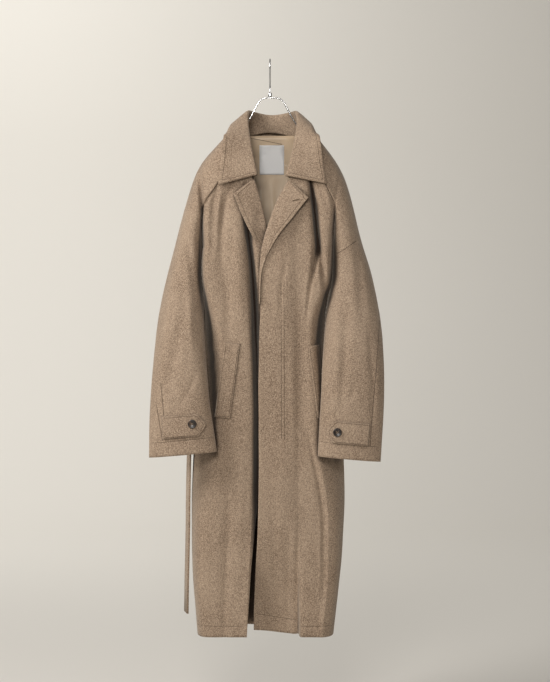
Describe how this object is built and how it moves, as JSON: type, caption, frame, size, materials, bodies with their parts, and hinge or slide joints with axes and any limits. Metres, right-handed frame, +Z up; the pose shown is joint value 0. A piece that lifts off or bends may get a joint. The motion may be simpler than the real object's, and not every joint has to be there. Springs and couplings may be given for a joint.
{
  "type": "balmacaan coat and hanger",
  "caption": "Long raglan coat with turned collar, concealed front, slanted welt pockets, cuff tabs and a hanging belt, on a wire hanger, open at neck, hem and cuffs.",
  "frame": {"origin": "inside of the hanger hook's crest, where it rests on a rail; the rail runs along X", "axes": "+Z up along the hook's stem, -Y the way the coat's front faces, +X the wearer's left"},
  "size_m": [0.554, 0.2625, 1.3679],
  "materials": {
    "wool": "heathered wool cloth",
    "lining": "satin",
    "label": "woven tape, bare",
    "horn": "polished, horn-like",
    "chrome": "polished"
  },
  "bodies": {
    "root": {"back": "wool", "front_right": "wool", "front_left": "wool", "sleeve_right": "wool", "sleeve_left": "wool", "collar": "wool", "facing_right": "wool", "facing_left": "wool", "pocket_welt_right": "wool", "pocket_welt_left": "wool", "cuff_tab_right": "wool", "cuff_tab_left": "wool", "belt": "wool", "belt_loop_right": "wool", "belt_loop_left": "wool", "back_lining": "lining", "neck_label": "label", "cuff_button_right": "horn", "cuff_button_left": "horn", "hanger_hook": "chrome", "hanger_ferrule": "chrome", "hanger_frame": "chrome"}
  },
  "joints": []
}
